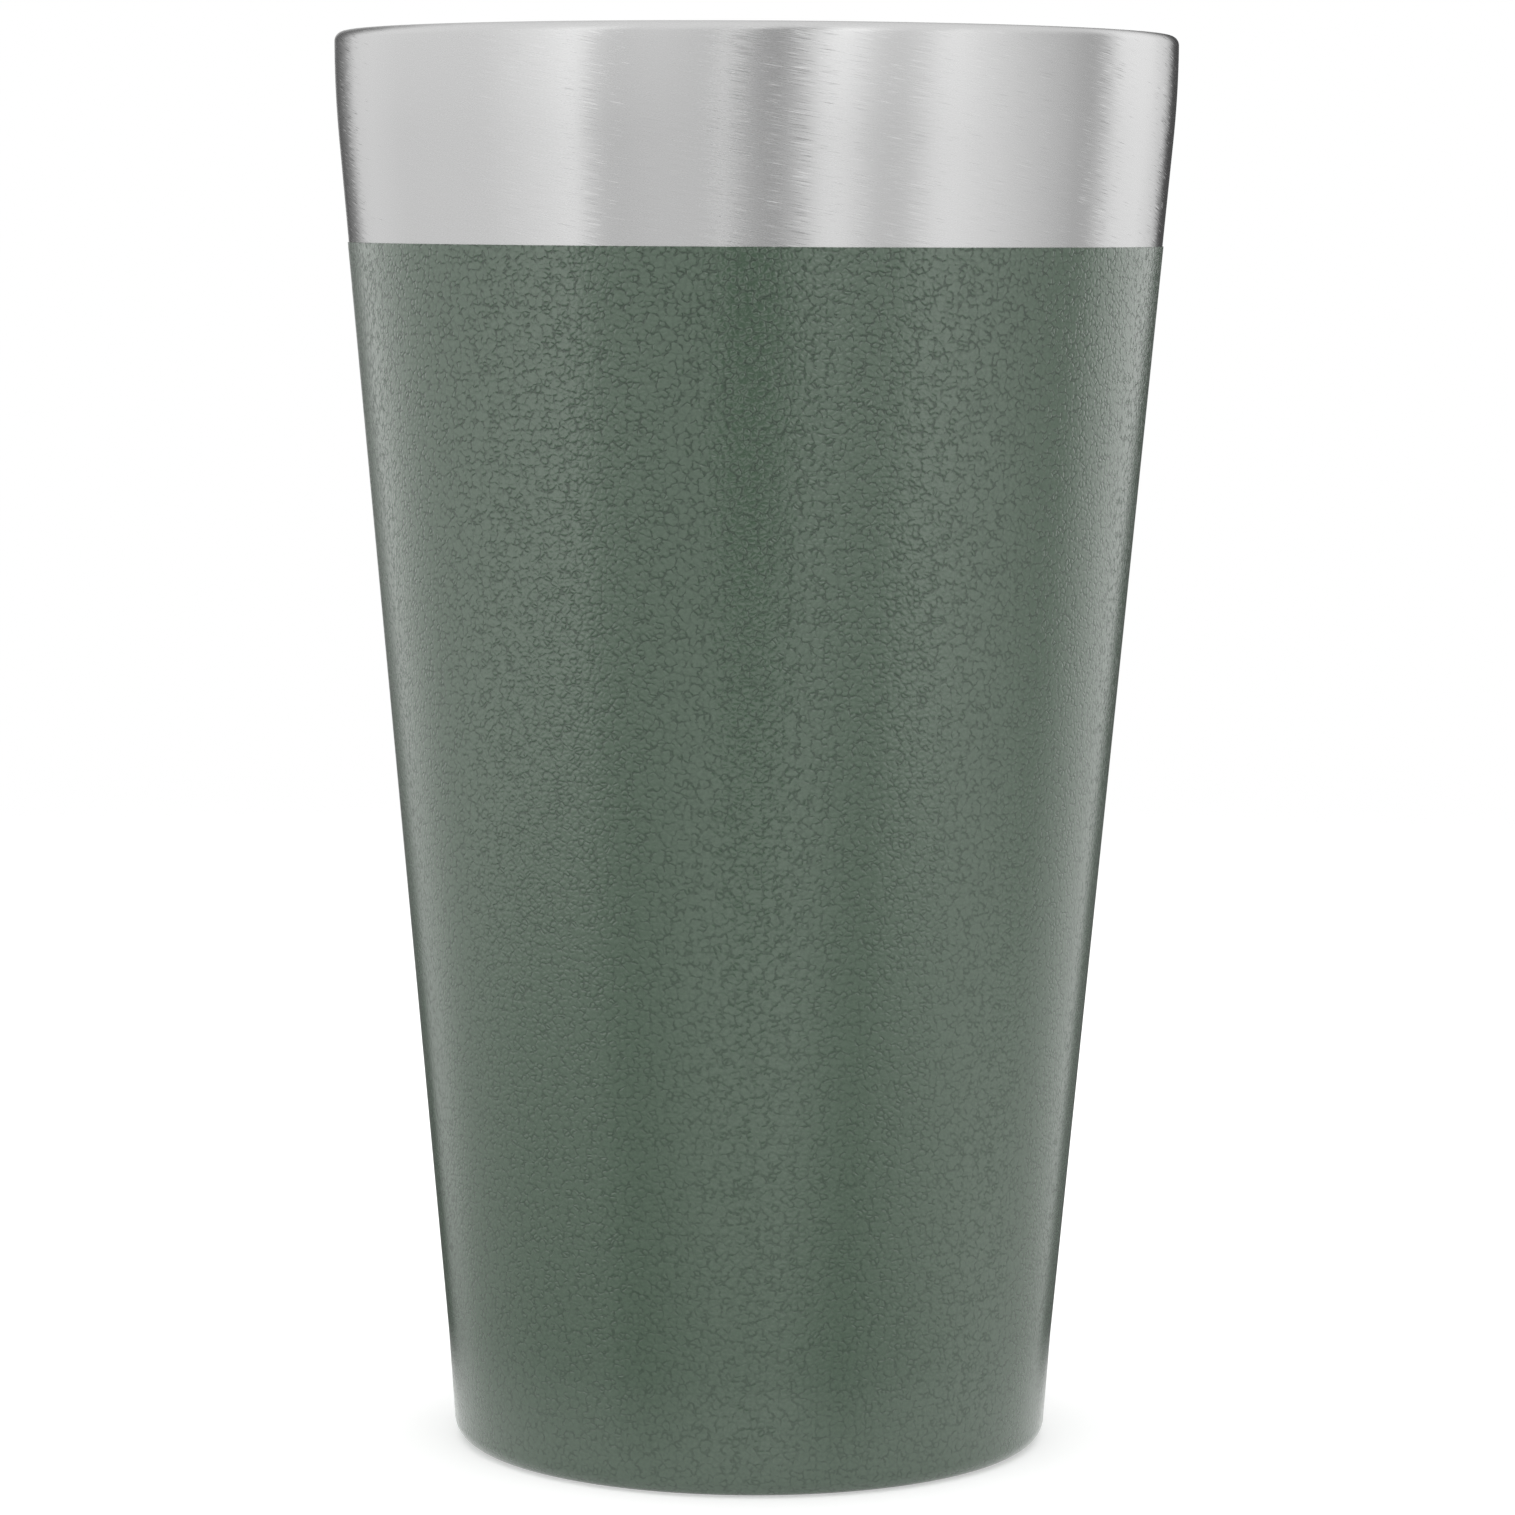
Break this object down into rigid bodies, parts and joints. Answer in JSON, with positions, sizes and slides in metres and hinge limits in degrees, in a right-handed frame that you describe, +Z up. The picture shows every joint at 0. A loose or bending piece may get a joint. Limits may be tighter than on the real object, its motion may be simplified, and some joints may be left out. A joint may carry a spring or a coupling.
{
  "type": "beer pint cup",
  "caption": "Tapered double-wall vacuum pint cup of sheet steel with a hammertone-coated body, a bare brushed band above it and a rolled, welded lip.",
  "frame": {"origin": "centre of the flat standing ring, on the cup's axis", "axes": "+Z up along the cup's axis towards the lip, -Y towards the camera of the picture, +X to the right in the picture"},
  "size_m": [0.089, 0.089, 0.15],
  "materials": {
    "brushed_band": "fine brushing round the cup, slightly helical",
    "satin_liner": "satin, turned lines round the cup",
    "mill_steel": "cold-rolled mill finish",
    "base_steel": "concentric brushing",
    "polished_weld": "ground flush and polished",
    "getter_alloy": "pressed metal powder",
    "sealing_glass": "opaque solder glass",
    "hammertone_green": "hammertone powder coat, glossy cells with dark crevices"
  },
  "bodies": {
    "root": {"outer_shell": "brushed_band", "liner_tube": "satin_liner", "liner_bottom": "satin_liner", "vacuum_pan": "mill_steel", "base_cap": "base_steel", "rim_weld": "polished_weld", "liner_weld": "polished_weld", "base_weld": "polished_weld", "getter_pellet": "getter_alloy", "getter_strap": "mill_steel", "port_glass": "sealing_glass", "hammertone_coat": "hammertone_green"}
  },
  "joints": []
}
